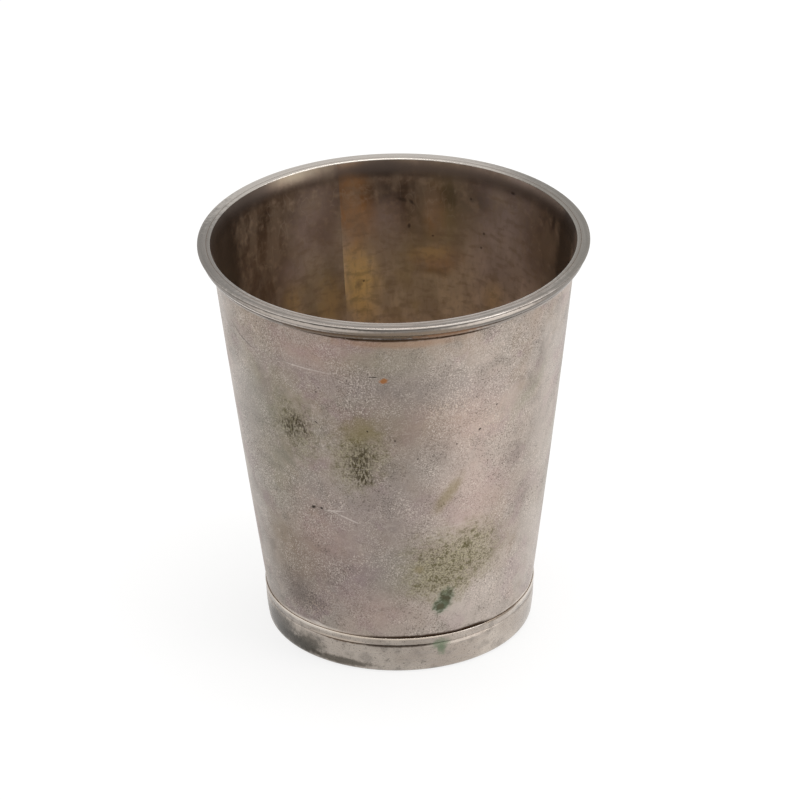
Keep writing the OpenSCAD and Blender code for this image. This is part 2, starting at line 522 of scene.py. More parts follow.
def from_axis(solid):
    """Distance of a place from the cup's axis."""
    level = add("VectorMath", {"operation": "MULTIPLY"}, {0: solid, 1: (1, 1, 0)})
    return add("VectorMath", {"operation": "LENGTH"}, {0: level}, out=1)


def places(tree):
    """Returns the place in the solid and the place on the wall laid flat, both in millimetres."""
    coordinates = add("TexCoord", {}, {}, out=3, tree=tree)
    solid = mapped(coordinates, Scale=(1 / MM, 1 / MM, 1 / MM))
    turned = axes(mapped(solid, Rotation=(0, 0, math.pi - seam_azimuth)))
    angle = reckon("ARCTAN2", turned[1], turned[0])
    return solid, flat_place(times(angle, WALL_MIDDLE_RADIUS), turned[2])


def cloudy(place, size, detail):
    """A cloudy noise, whose clouds are about size across, in mm."""
    return add("TexNoise", {}, {"Vector": place, "Scale": 1 / size, "Detail": detail})


def blotches(place, size, low, high, detail=3.0, strength=1.0):
    """A cloudy mask: 0 where the noise is under low, full where it is over high. Size is in mm."""
    return ramp(cloudy(place, size, detail), low, high, strength)


def level_band(place, level, width, strength):
    """A line at one level of a place, both in mm: full on the level, gone at its width."""
    return ramp(distance_from(axes(place)[1], level), width, 0.0, strength)


# %% [markdown]
# Stains, lines and layers
#
# Most of what makes the cup old has its place: a bloom, a rubbed edge, a line of dirt. Each is a
# stain on the wall laid flat, a round gradient with an edge that a noise frays. Scratches are thin
# lines in a noise that is drawn out. A finish lays them over each other as tints.

# %% Stains and lines
# A stain's azimuth and turn are in degrees, its height and its half-widths in millimetres
Stain = namedtuple("Stain", "azimuth height across up turn", defaults=[0])
STAIN_REACH = 4.0


def stains(*rows):
    """A list of stains, from one row of numbers for each."""
    return [Stain(*row) for row in rows]


def paired(*rows):
    """Stains that each come with a strength or a tint, which ends the row."""
    return [(Stain(*row[:-1]), row[-1]) for row in rows]


def stain(flat, noise, place, ragged, soft, strength=1.0):
    """A stain with a place on the wall: full at its middle, fading over a ragged edge.

    A round gradient falls from 1 at the middle of the stain to 0 at STAIN_REACH of its half-widths.
    """
    from_seam = (math.radians(place.azimuth) - seam_azimuth) % math.tau
    middle = ((from_seam - math.pi) * WALL_MIDDLE_RADIUS, place.height, 0)
    local = add("Mapping", {"vector_type": "TEXTURE"},
                {"Vector": flat, "Location": middle, "Rotation": (0, 0, math.radians(place.turn)),
                 "Scale": (place.across * STAIN_REACH, place.up * STAIN_REACH, 1)})
    falling = add("TexGradient", {"gradient_type": "SPHERICAL"}, {"Vector": local}, out=1)
    frayed = reckon("MULTIPLY_ADD", noise, -ragged / STAIN_REACH, falling)
    edge = 1 - (1 + ragged / 2) / STAIN_REACH
    half_soft = soft / 2 / STAIN_REACH
    return ramp(frayed, edge - half_soft, edge + half_soft, strength)


def curls(place, size, width, strength):
    """Thin wandering lines: where a noise passes its middle value, broken up by a second noise."""
    off_line = distance_from(cloudy(place, size, 1.0), 0.5)
    line = ramp(off_line, width, 0.0, kind="LINEAR")
    return times(line, blotches(place, size * 1.7, 0.48, 0.56, 2.0, strength))


def hairlines(flat, turn, length, spacing, width, strength):
    """Fine scratches: wandering lines drawn out along one direction on the wall."""
    laid = mapped(flat, Rotation=(0, 0, math.radians(turn)), Location=(turn, length, 0),
                  Scale=(1 / length, 1 / spacing, 1))
    return curls(laid, 1.0, width, strength)


# %% Layers of paint
def painted(ground, layers):
    """Lays tints over a ground, a hex colour or painted before, each where its mask says.

    The renderer keeps every mask until it is painted, and holds only so many, so a finish with many
    layers is painted group by group, as soon as each group's masks are made.
    """
    colour = linear(ground) if isinstance(ground, str) else ground
    for mask, tint in layers:
        colour = add("Mix", {"data_type": "RGBA"}, {0: mask, 6: colour, 7: linear(tint)}, out=2)
    return colour


def stained(colour, flat, noise, ragged, soft, groups, through=None):
    """Paints stains with a like fringe. A group is its stains, strength and tint.

    Where a second mask is given, the tint shows only through that.
    """
    for group, strength, tint in groups:
        for place in group:
            mask = stain(flat, noise, place, ragged, soft, strength)
            if through is not None:
                mask = times(mask, through)
            colour = painted(colour, [(mask, tint)])
    return colour


def summed(start, terms):
    """Adds masks to a starting number, each times its own factor."""
    total = start
    for mask, factor in terms:
        total = reckon("MULTIPLY_ADD", mask, factor, total)
    return total


def metal(colour, roughness, height, depth, metallic=1.0):
    """The shader of a piece of metal: colour, roughness and a bump whose depth is in metres."""
    normal = add("Bump", {}, {"Height": height, "Distance": depth, "Strength": 1.0})
    shader = add("BsdfPrincipled", {},
                 {"Base Color": colour, "Metallic": metallic, "Roughness": roughness, "Normal": normal})
    add("OutputMaterial", {}, {"Surface": shader})


def new_material(name):
    """An empty node material and its tree."""
    made = bpy.data.materials.new(name)
    made.use_nodes = True
    made.node_tree.nodes.clear()
    return made, made.node_tree


def count_nodes(*finishes):
    """Prints how many nodes each finish took."""
    for finish in finishes:
        print(finish.name, "has", len(finish.node_tree.nodes), "nodes")


# %% [markdown]
# Tarnished silver, outside
#
# Coin silver left unpolished grows a skin of silver sulphide. Thin, it warms the metal to a pinkish
# grey. Where hands and water have been it turns brown, olive or violet, and the copper in the alloy
# feeds small green blooms. The metal below was satin-finished by a century of rubbing, so it
# mirrors only broadly, and it is peppered with pits and pale specks, most of them under half a
# millimetre, and crossed by hairlines.

# %% Stains of the outside
broad_pink = stains(
    (-117, 79, 13, 5, -8), (-68, 63, 9, 7, 20), (-62, 42, 9, 9, 30), (-120, 32, 7, 9, 20), (-98, 16, 9, 5))
broad_pale = stains((-64, 45, 9, 30), (-52, 16, 9, 8), (-24, 40, 6, 40), (-84, 18, 8, 8), (-107, 47, 4, 5))
broad_green = stains(
    (-141, 58, 7, 20), (-94, 78, 8, 4, 10), (-38, 64.5, 5.5, 2, 40), (-90, 25, 6, 5, 15),
    (20, 50, 20, 12, 30), (150, 40, 18, 14, -20))
broad_violet = stains(
    (-112, 24, 11, 8, 10), (-98, 42, 12, 8), (-96, 72, 20, 3, -6), (-135, 16, 5, 4), (60, 66, 22, 9, 10))
broad_brown = stains((-103, 62, 5, 3, 10), (-90, 63, 10, 8), (-136, 24, 9, 7), (95, 30, 16, 20))
# Dull patches, the long one down the left side painted shade
dull_and_painted_shade_areas = stains((-157, 45, 5, 42), (-78, 54, 4.5, 5), (-149, 60, 6, 9), (-79, 73, 8, 5))
# Painted shade down the middle of the front
painted_shade_in_middle = stains((-84, 45, 8, 40), (-38, 46, 7, 12))
smudges = stains((-135, 16, 4.5, 3.6), (-129, 14.5, 3, 1.8), (40, 24, 7, 6), (165, 60, 6, 9))
green_blooms = paired(
    (-72, 26.8, 7.6, 7.0, 1.0), (-59, 29.5, 6, 6.2, 30, 0.75), (-76, 22, 7, 4, 0.5),
    (-103.5, 54.6, 4.8, 7.0, -18, 0.9), (-127, 59.4, 5, 6.4, 20, 0.65), (88, 22, 9, 6, 10, 0.9),
    (5, 46, 5, 4, 40, 0.8))
dark_blooms = stains((-72, 17.4, 1.6, 2.6, -30), (-73.6, 16.2, 1.4, 1.1), (130, 58, 1.4, 2.2, 20))
dark_strokes = stains(
    (-125.4, 61, 1.2, 3.4, 40), (-129, 59, 2.4, 2.4), (-103.4, 54, 2.4, 4.4, -22),
    (-101.6, 50, 1.8, 2.6, -22))
olive_streaks = stains((-71.9, 44.7, 4.6, 1.4, 57), (-102, 61.6, 3.2, 2.8), (-82.5, 26.3, 1.0, 0.9))
orange_tarnish = stains((-90, 83.6, 11, 1.0), (40, 82, 12, 1.5))
rust = [Stain(-94, 74.5, 0.8, 0.6)]
black_pits = stains(
    (-122.8, 40.2, 0.6, 0.32, 20), (-119.4, 40.4, 0.36, 0.3), (-97.7, 75.4, 0.9, 0.12),
    (-60.7, 59.7, 0.3, 0.2, 30), (-69.2, 57.3, 0.16, 0.16), (-90.8, 59.6, 0.18, 0.18),
    (-54.4, 64.6, 0.2, 0.18), (-83, 54.8, 0.2, 0.14), (-100, 61.8, 0.16, 0.22, 20),
    (-116.2, 71.1, 0.16, 0.14), (-117.2, 70, 0.16, 0.18), (-118.2, 62.3, 0.4, 0.14, -45))
fine_dark_scratches = stains((-147, 75.8, 2.2, 0.16, -18), (-152, 77, 2.4, 0.14, -30))
# Dirt and painted shade lie as lines where the sheet goes in behind the lip and the foot, but not all the
# way round
grime_and_shade_lines = stains(
    (-92, LIP_FOOT - 0.5, 13, 0.5), (-112, LIP_FOOT - 0.45, 7, 0.3), (-70, LIP_FOOT - 0.5, 7, 0.4),
    (-82, FOOT_TOP + 0.1, 14, 0.5), (-58, FOOT_TOP + 0.1, 5, 0.6), (60, FOOT_TOP, 30, 0.5),
    (90, LIP_FOOT - 0.5, 24, 0.5))
# Where the band was rubbed down to the sheet, the line above it is bright instead, worn and painted as a
# highlight
rubbed_and_highlight_lines = stains(
    (-136, FOOT_TOP + 0.2, 13, 0.5), (-22, FOOT_TOP + 0.2, 12, 0.5), (-126.9, 9.3, 2.2, 0.4, -8))
speckled_patches = stains((-127.5, 13.4, 3.0, 2.2), (-72, 67, 6, 2.8, 10), (-58, 61, 5, 4, 20))
pale_scratches = stains(
    (-114.4, 40.4, 2.4, 0.16, 8), (-109.4, 39.1, 3.4, 0.16, -20), (-122, 75.3, 5.5, 0.1, -1))
print(len(green_blooms), "green blooms,", len(dark_blooms), "clots,", len(black_pits), "pits outside")


# %% Clouds and grain
def outside_clouds(solid, flat, fray):
    """Broad clouds, paler low down as painted light, browner under the lip, and stains with a place."""
    level = axes(flat)[1]
    colour = painted("#B0A297", [
        # Painted light: the wall is paler low down, near the table
        (ramp(level, 27.0, 9.0, 0.4), "#C4B9AE"),
        (ramp(level, 74.0, 85.0, 0.4), "#A08A76"),
        (blotches(solid, 16, 0.42, 0.6, 4.0, 0.75), "#A0978F"),
        (blotches(solid, 9, 0.5, 0.64, 4.0, 0.55), "#978775"),
        (blotches(solid, 7, 0.5, 0.64, 4.0, 0.5), "#9C8489"),
        (blotches(solid, 5.5, 0.52, 0.66, 4.0, 0.6), "#8A8178"),
        (blotches(solid, 3.1, 0.54, 0.7, 3.0, 0.5), "#BCABA0"),
    ])
    # The dull stains down the left side and the middle are painted shade
    return stained(colour, flat, fray, 1.4, 2.0, [
        (broad_pale, 0.5, "#CDC1B8"), (broad_pink, 0.5, "#BD9F95"), (broad_green, 0.55, "#92917D"),
        (broad_violet, 0.42, "#908487"), (broad_brown, 0.5, "#8A7760"), (dull_and_painted_shade_areas, 0.52, "#8F8882"),
        (painted_shade_in_middle, 0.35, "#9C9188"), (smudges, 0.5, "#6C615A")])


def outside_grain(solid, colour):
    """Grain and specks, gathered in clusters, and fine wandering wear."""
    pale_clusters = blotches(solid, 8, 0.4, 0.62, 2.0)
    dark_clusters = blotches(solid, 11, 0.44, 0.6, 2.0)
    grain = cloudy(solid, 0.26, 2.0)
    pale_grain = ramp(grain, 0.52, 0.68, 0.6, "LINEAR")
    dark_grain = ramp(grain, 0.48, 0.32, 0.55, "LINEAR")
    grainy = between(blotches(solid, 6, 0.4, 0.6, 3.0), 0.35, 1.0)
    pale_specks = times(blotches(solid, 0.31, 0.56, 0.66, 1.0, 0.68), pale_clusters)
    dark_specks = times(blotches(solid, 0.35, 0.57, 0.68, 1.0, 0.68), dark_clusters)
    colour = painted(colour, [
        (times(pale_grain, grainy), "#CFC2B8"),
        (times(dark_grain, grainy), "#776C63"),
        (dark_specks, "#6A6058"),
        (pale_specks, "#DCCFC4"),
        (curls(solid, 1.5, 0.03, 0.35), "#CDBFB4"),
        (curls(solid, 1.9, 0.02, 0.4), "#6E645B"),
    ])
    roughness = summed(0.36, [
        (blotches(solid, 7, 0.4, 0.66, 4.0), 0.08), (dark_specks, 0.2), (pale_specks, -0.08)])
    height = summed(0.5, [(dark_specks, -0.3), (pale_specks, 0.2)])
    return colour, roughness, height


# %% Growths and marks
def green_growth(solid, flat, fray, colour, roughness):
    """Green blooms: a pale ground with crumbs, dots and clumps on it."""
    dots = blotches(solid, 0.36, 0.5, 0.62, 2.0, 0.8)
    crumbs = blotches(solid, 0.44, 0.55, 0.66, 1.0, 0.7)
    clumps = blotches(solid, 1.2, 0.54, 0.64, 3.0, 0.75)
    for place, strength in green_blooms:
        mask = stain(flat, fray, place, 1.3, 1.5, strength)
        colour = painted(colour, [
            (times(mask, 0.7), "#9D957D"), (times(mask, crumbs), "#C2BA9E"),
            (times(mask, dots), "#62593F"), (times(mask, clumps), "#5C5534")])
        roughness = summed(roughness, [(mask, 0.18)])
    return colour, roughness


def dark_clots(flat, fine_fray, colour, roughness, height):
    """Dark clots with a green fringe, raised, dull and hardly metallic."""
    metallic = 1.0
    for place in dark_blooms:
        fringe = stain(flat, fine_fray, place, 1.3, 1.6, 0.8)
        core = stain(flat, fine_fray, place, 2.4, 1.0, 0.95)
        colour = painted(colour, [(fringe, "#6F8A74"), (core, "#3F3A20")])
        roughness = summed(roughness, [(core, 0.18)])
        height = summed(height, [(core, 0.3)])
        metallic = summed(metallic, [(core, -0.6)])
    return colour, roughness, height, metallic


def outside_marks(solid, flat, fray, fine_fray, colour, height):
    """Strokes, streaks, rust, scratches, dirt and painted shade, rubbed lines and painted highlights,
    specks and pits, each in its place.
    """
    strokes = blotches(mapped(flat, Scale=(1, 0.35, 1)), 0.42, 0.44, 0.56, 2.0)
    colour = stained(colour, flat, fray, 1.0, 1.2, [(dark_strokes, 0.85, "#4E4534")], strokes)
    for noise, ragged, soft, group in (
            (fray, 1.2, 1.3, (olive_streaks, 0.55, "#8C7F5A")),
            (fray, 1.3, 1.3, (orange_tarnish, 0.45, "#A67E5E")),
            (fine_fray, 1.2, 0.8, (rust, 0.85, "#A66A35")),
            (fine_fray, 1.0, 0.8, (fine_dark_scratches, 0.6, "#4A4038")),
            (fine_fray, 1.4, 0.8, (pale_scratches, 0.6, "#DDD2CA")),
            (fray, 0.8, 0.9, (grime_and_shade_lines, 0.95, "#34210F")),
            (fray, 0.8, 1.2, (rubbed_and_highlight_lines, 0.8, "#E9E0D7"))):
        colour = stained(colour, flat, noise, ragged, soft, [group])
    crumbs = blotches(solid, 0.34, 0.55, 0.64, 1.0)
    colour = stained(colour, flat, fray, 1.4, 1.8, [(speckled_patches, 0.5, "#DCC9B8")], crumbs)
    for place in black_pits:
        mask = stain(flat, fine_fray, place, 1.2, 0.9, 0.9)
        colour = painted(colour, [(mask, "#332B25")])
        height = summed(height, [(mask, -0.6)])
    return colour, height


def polishing_lines(flat, colour, height):
    """Hairlines of polishing, pale where fresh and dark where old."""
    for line, tint, cut in ((hairlines(flat, 4, 26, 2.6, 0.006, 0.3), "#C4B8AE", -0.25),
                            (hairlines(flat, -38, 9, 1.9, 0.008, 0.35), "#BDB0A6", -0.25),
                            (hairlines(flat, 71, 14, 2.4, 0.006, 0.3), "#7D736B", 0)):
        colour = painted(colour, [(line, tint)])
        height = summed(height, [(line, cut)])
    return colour, height


# %% Tarnished silver, outside
def tarnished_outside():
    """Satin silver under a warm grey skin, with mottling, stains that have a place, and wear."""
    made, tree = new_material("tarnished_coin_silver")
    solid, flat = places(tree)
    fray = cloudy(solid, 2.2, 5.0)
    fine_fray = cloudy(solid, 0.7, 3.0)
    colour = outside_clouds(solid, flat, fray)
    colour, roughness, height = outside_grain(solid, colour)
    colour, roughness = green_growth(solid, flat, fray, colour, roughness)
    colour, roughness, height, metallic = dark_clots(flat, fine_fray, colour, roughness, height)
    colour, height = outside_marks(solid, flat, fray, fine_fray, colour, height)
    colour, height = polishing_lines(flat, colour, height)
    metal(colour, roughness, height, 0.03 * MM, metallic)
    return made


silver_outside = tarnished_outside()
count_nodes(silver_outside)


# %% [markdown]
# Tarnished silver, inside
#
# The inside was never rubbed, so its skin is thicker: dark brown, with golden and violet patches
# where the film is thin enough to colour light as an oil slick does. Drips have drawn streaks down
# it. Light that gets in strikes the wall twice or more before it comes out, and each time the
# silver's own colour deepens it, so the material itself is written a good deal paler than it looks.

# %% Stains of the inside
gold_bands = [Stain(102.6, 61, 3.6, 7)]
faint_gold = stains(
    (102.6, 49, 3.4, 6), (129, 58, 2.6, 6), (52.3, 61, 2.2, 3.4), (77, 68, 3.4, 1.6, -10), (113, 58, 3, 5))
olive_areas = stains((82, 62, 10, 9), (72, 78, 5, 8), (118, 58, 5, 8))
orange_bands = [Stain(103, 79, 3.2, 9)]
faint_orange = stains((74, 66.2, 4.4, 2.6, -15), (76, 78, 2, 5))
violet_areas = stains(
    (47, 73, 10, 14), (118, 76, 5, 6), (92, 72, 3, 8), (50, 67, 3.4, 2.6), (129, 67.5, 3, 2.4))
shaded_areas = stains((139, 72, 9, 28), (80, 74, 9, 9), (114, 75, 4, 6), (31, 78, 6, 7))
# Painted shade under the flare
shade_under_flare = stains((148, 81.5, 14, 3.6), (68, 81.5, 7, 3), (94, 82, 8, 2.6))
shaded_sides = stains((11, 78, 5, 30), (172, 80, 10, 34))
# Brown bands, those down the left and right sides also painted shade
brown_and_shaded_bands = stains(
    (147, 74, 9, 30), (27, 78, 7, 14), (84, 79, 6, 4), (67, 80, 4, 5), (77, 64.2, 3, 0.8), (112, 62, 3, 7))
flare_tarnish = stains((94, 87.2, 5, 1.8), (160, 87.6, 12, 2.4), (142, 88, 6, 2))
black_spots = stains(
    (24, 84.4, 0.7, 1.5, 10), (46.7, 85.6, 0.5, 0.3), (87, 80, 0.9, 0.4, 20), (83.6, 79.4, 0.8, 0.3, 50),
    (63, 81.6, 0.24, 0.3), (57.5, 74.4, 0.24, 0.3), (76.3, 72, 0.24, 0.24), (84.6, 74, 0.3, 0.5),
    (58.3, 71.1, 0.24, 0.24), (101, 61.8, 0.2, 0.2))
print(len(brown_and_shaded_bands), "brown bands and", len(black_spots), "black spots inside")


# %% Tarnished silver, inside
def tarnished_inside():
    """Silver under a thick brown skin, streaked downwards, with golden bands by the seam."""
    made, tree = new_material("brown_tarnished_silver")
    solid, flat = places(tree)
    fray = cloudy(solid, 2.5, 4.0)
    broad_fray = cloudy(solid, 5, 5.0)
    drawn_down = mapped(flat, Scale=(1, 0.4, 1))
    # Painted shade: the inside is darker towards the top
    painted_shade_up_top = ramp(axes(flat)[1], 62.0, 82.0, 0.92)
    drawn_level = mapped(flat, Scale=(0.5, 1, 1))
    streaks = blotches(drawn_down, 4.2, 0.44, 0.6, 4.0, 0.4)
    patches = blotches(solid, 2.2, 0.5, 0.7, 4.0, 0.26)
    dabs = blotches(drawn_level, 1.5, 0.48, 0.66, 4.0, 0.35)
    fine_dabs = blotches(drawn_down, 0.8, 0.5, 0.68, 4.0, 0.25)
    colour = painted("#E2CBB1", [
        (blotches(solid, 14, 0.44, 0.6, 4.0, 0.6), "#AA958A"),
        (blotches(solid, 6, 0.5, 0.66, 4.0, 0.5), "#A68C66"),
        (painted_shade_up_top, "#5A473B"),
    ])
    colour = stained(colour, flat, broad_fray, 1.2, 1.7, [
        (brown_and_shaded_bands, 0.8, "#54453A"), (violet_areas, 0.7, "#C9B3AA"), (shaded_areas, 0.62, "#5F462F"),
        (olive_areas, 0.5, "#A5946A"), (gold_bands, 0.9, "#F6D28A"), (faint_orange, 0.55, "#B98C66"),
        (faint_gold, 0.6, "#D4B27E"), (orange_bands, 0.75, "#BD8A58"), (shade_under_flare, 0.5, "#30251C")])
    colour = painted(colour, [
        (streaks, "#94806C"),
        (patches, "#B9A189"),
        (dabs, "#7E6A55"),
        (fine_dabs, "#8C7763"),
        (curls(drawn_down, 2.2, 0.02, 0.16), "#BFAD9B"),
    ])
    roughness = summed(0.36, [(streaks, 0.1), (patches, 0.08)])

    # Painted shade on the flare, which faces the dark inside, but for a painted gleam on the left
    gleam = stain(flat, fray, Stain(123, 88.6, 7, 1.9), 1.2, 1.8)
    elsewhere = between(gleam, 1.0, 0.3)
    flare_shade = times(level_band(flat, 87.1, 3.2, 0.92), elsewhere)
    colour = painted(colour, [(times(gleam, 0.8), "#736A5B"), (flare_shade, "#483A31")])
    colour = stained(colour, flat, fray, 0.9, 1.2, [(flare_tarnish, 0.8, "#40352E")])
    colour = stained(colour, flat, fray, 0.5, 0.6, [(shaded_sides, 0.88, "#34281F")])
    height = 0.5
    for place in black_spots:
        mask = stain(flat, fray, place, 1.5, 1.4, 0.75)
        colour = painted(colour, [(mask, "#3A2D26")])
        height = summed(height, [(mask, -0.4)])
    metal(colour, roughness, height, 0.02 * MM, 0.7)
    return made


silver_inside = tarnished_inside()
count_nodes(silver_inside)


# %% [markdown]
# Rubbed wire, at lip and foot
#
# Fingers, lips and shelves keep the mouldings brighter than the wall: a neutral grey, finely
# scratched the way the rings run. Dirt and tarnish stay where a cloth can't reach, so each groove
# holds a dark line, which is placed by its height. Edges, rings and lines on the mouldings also
# carry painted highlights and painted shade.

# %% Grooves, lines and marks of the mouldings
# Grooves and edges with a painted highlight are given by level, width and strength, rings of painted
# highlight and shade by radius, width and strength
lip_grooves = [
    (TOP - upper_groove_drop / MM, 0.62, 1.0), (TOP - lower_groove_drop / MM, 0.5, 0.8),
    (LIP_FOOT, 0.4, 0.8), (TOP - 1.75, 0.16, 0.35)]
lip_highlight_edges = [(TOP - flange_round / MM, 0.14, 0.9), (TOP - 3.1, 0.3, 0.35)]
lip_highlight_and_shade_rings = [((LIP_EDGE - 0.75, 0.6, 0.5), "#5E5A55"), ((LIP_EDGE - rim_width / MM, 0.4, 0.5), "#CFC8C0")]
foot_grooves = [(FOOT_LINE, 0.26, 0.3), (0.0, 0.5, 0.6)]
foot_highlight_edges = [(FOOT_TOP - 0.1, 0.28, 0.25)]
# Dark lines of dirt, and pale lines of painted highlight along the top edge and the incised line
foot_dirt_and_highlight_lines = paired(
    (-92, FOOT_LINE, 12, 0.3, "#33261C"), (-116, FOOT_LINE, 6, 0.2, "#5A4A3C"),
    (-112, FOOT_TOP - 0.1, 12, 0.3, "#E0D2C2"), (-84, FOOT_TOP - 0.1, 9, 0.24, "#E0D2C2"),
    (-136, FOOT_TOP - 0.1, 12, 0.5, "#EDE3D8"), (-22, FOOT_TOP - 0.1, 12, 0.5, "#DCD2C8"),
    (-118, FOOT_LINE + 0.4, 8, 0.24, "#D8C8B8"), (-66, FOOT_LINE - 0.4, 7, 0.24, "#D8CCC0"),
    (-42, FOOT_TOP, 7, 0.4, "#857769"))
foot_marks = paired(
    (-73, 6.6, 2.2, 1.2, "#75806A"), (-72.6, 5.2, 1.0, 1.4, "#75806A"), (-154, 3.9, 8, 2.9, "#504D49"),
    (-134, 3.0, 5, 2.2, 12, "#5A564E"), (-143, 2.2, 9, 1.6, "#56524C"), (-118, 1.6, 9, 0.9, "#4C463C"),
    (30, 3, 8, 1.4, "#6A6252"))
# A dark line of dirt and painted shade under the lip, and pale lines of painted highlight on the reed
lip_dirt_and_light_lines = paired(
    (-88, LIP_FOOT + 0.1, 14, 0.5, "#2A1B0F"), (-88, TOP - lower_groove_drop / MM, 16, 0.4, "#4A3A2C"),
    (-118, TOP - 1.3, 13, 0.36, "#CFC4BA"), (-58, TOP - 1.2, 9, 0.3, "#CFC4BA"),
    (-88, TOP - 2, 11, 0.7, "#8C7C6C"), (-132, TOP - 2.2, 14, 0.4, "#D6CBC2"))
# Stains on the lip, and on its top painted shade at the sides and painted light at the back
lip_stains_and_painted_light = paired(
    (178, 89, 26, 0.8, "#6B6762"), (8, 89, 26, 0.8, "#716D66"), (-94, 86.4, 9, 0.5, "#776857"),
    (-112, 85.8, 8, 0.5, "#6B5744"), (-74, 85.9, 6, 0.7, "#8A6A52"), (75, 87, 14, 1.0, "#7F786C"),
    (98, 89, 24, 0.8, "#BFB8B0"), (118, 89, 24, 0.8, "#BFB8B0"))
print(len(lip_grooves), "dark grooves at the lip and", len(foot_grooves), "at the foot")


# %% Rubbed wire, at lip and foot
def rubbed_wire(name, ground, rubbed, grooves, edges, rings, lines, marks):
    """Silver kept bright by handling: dark grooves and worn edges with a painted highlight at given
    levels, rings of painted light and shade, and stains.
    """
    made, tree = new_material(name)
    solid, flat = places(tree)
    fray = cloudy(solid, 0.9, 4.0)
    radius = from_axis(solid)
    round_ring, level = axes(flat)[:2]
    ring_place = flat_place(round_ring, reckon("SUBTRACT", level, radius))
    drawn_round = mapped(ring_place, Scale=(0.12, 2.2, 1))
    rubbing = blotches(drawn_round, 0.9, 0.44, 0.62, 3.0, rubbed)
    specks = blotches(solid, 0.35, 0.58, 0.7, 2.0, 0.5)
    here_and_there = blotches(drawn_round, 2.4, 0.4, 0.58, 3.0)
    elsewhere = blotches(drawn_round, 1.7, 0.44, 0.56, 2.0)
    ring_and_radius = flat_place(round_ring, radius)
    colour = painted(ground, [
        (blotches(solid, 11, 0.42, 0.62, 3.0, 0.5), "#96897F"),
        (blotches(solid, 2.6, 0.5, 0.68, 4.0, 0.45), "#807972"),
        (rubbing, "#B4ADA7"),
        (specks, "#645C54"),
    ])
    height = summed(0.5, [(rubbing, 0.2), (specks, -0.3)])
    roughness = summed(0.26, [(rubbing, 0.06), (specks, 0.1)])
    kept = between(here_and_there, 0.6, 1.0)
    for groove in grooves:
        mask = times(level_band(flat, *groove), kept)
        colour = painted(colour, [(mask, "#2A1F17")])
        roughness = summed(roughness, [(mask, 0.25)])
    # Painted highlights along the worn edges
    for edge in edges:
        mask = times(level_band(flat, *edge), elsewhere)
        colour = painted(colour, [(mask, "#E6DED6")])
    # Rings of painted highlight and painted shade across the top of the lip
    for ring, tint in rings:
        colour = painted(colour, [(level_band(ring_and_radius, *ring), tint)])
    # Lines and marks, some of them painted highlight and painted shade
    for group, ragged, strength in ((lines, 0.8, 0.9), (marks, 1.2, 0.75)):
        for place, tint in group:
            colour = stained(colour, flat, fray, ragged, 0.9, [([place], strength, tint)])
    metal(colour, roughness, height, 0.015 * MM)
    return made


lip_finish = rubbed_wire("rubbed_lip_wire", "#989089", 0.6, lip_grooves, lip_highlight_edges, lip_highlight_and_shade_rings,
                         lip_dirt_and_light_lines, lip_stains_and_painted_light)
foot_finish = rubbed_wire("rubbed_foot_band", "#C6BBB0", 0.25, foot_grooves, foot_highlight_edges, [],
                          foot_dirt_and_highlight_lines, foot_marks)
count_nodes(lip_finish, foot_finish)


# %% [markdown]
# Solder and the bottom disc
#
# Hard solder is silver with more copper and zinc. It takes a duller, yellower tarnish, and the
# runs under the mouldings are mostly hidden in grime. The disc kept the marks of the scraper that
# cleaned it, faint rings about its centre.

# %% Solder and the bottom disc
def dull_solder(name, ground, shade):
    """Hard solder, slightly lumpy, under a dull skin."""
    made, tree = new_material(name)
    solid, _ = places(tree)
    lumps = blotches(solid, 1.1, 0.4, 0.66, 3.0)
    specks = blotches(solid, 0.4, 0.56, 0.68, 2.0, 0.7)
    height = summed(0.5, [(lumps, 0.5), (specks, -0.3)])
    roughness = summed(0.45, [(lumps, 0.12)])
    metal(painted(ground, [(lumps, shade), (specks, "#4A423A")]), roughness, height, 0.05 * MM)
    return made


def scraped_disc():
    """Sheet silver with rings from scraping, brown towards its rim."""
    made, tree = new_material("scraped_silver")
    solid, _ = places(tree)
    radius = from_axis(solid)
    rings = blotches(flat_place(radius, 0.0), 0.5, 0.42, 0.62, 2.0, 0.5)
    rim = ramp(radius, 17.0, plate_radius / MM, 0.6)
    clouds = blotches(solid, 7, 0.42, 0.62, 5.0, 0.7)
    specks = blotches(solid, 0.5, 0.58, 0.7, 2.0, 0.6)
    layers = [(clouds, "#84725F"), (rings, "#A39180"), (rim, "#6E5D4D"), (specks, "#4B4038")]
    height = summed(0.5, [(rings, 0.4), (specks, -0.3)])
    roughness = summed(0.4, [(clouds, 0.1)])
    metal(painted("#93836F", layers), roughness, height, 0.02 * MM)
    return made


seam_finish = dull_solder("silver_solder", "#A8957E", "#97846E")
dark_finish = dull_solder("dark_solder", "#5E4C3C", "#463629")
foot_solder_finish = dull_solder("dark_solder_at_foot", "#8A7A68", "#6E5F50")
disc_finish = scraped_disc()
count_nodes(seam_finish, dark_finish, foot_solder_finish, disc_finish)


# %% [markdown]
# Dressing the pieces
#
# Each piece takes its finish, rides on the cup's one body and stands in for its CAD node. The sheet
# and its seam have two skins and an edge that is rubbed like the lip, so their faces are shared out
# among three slots.

# %% Dressing the pieces
def dress(piece, node, slot, *finishes):
    """Gives a piece its finishes, its body and the CAD node it stands for, which it hides. The slot is not
    used.
    """
    for finish in finishes:
        piece.data.materials.append(finish)
    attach(piece, "root")
    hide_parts(node)


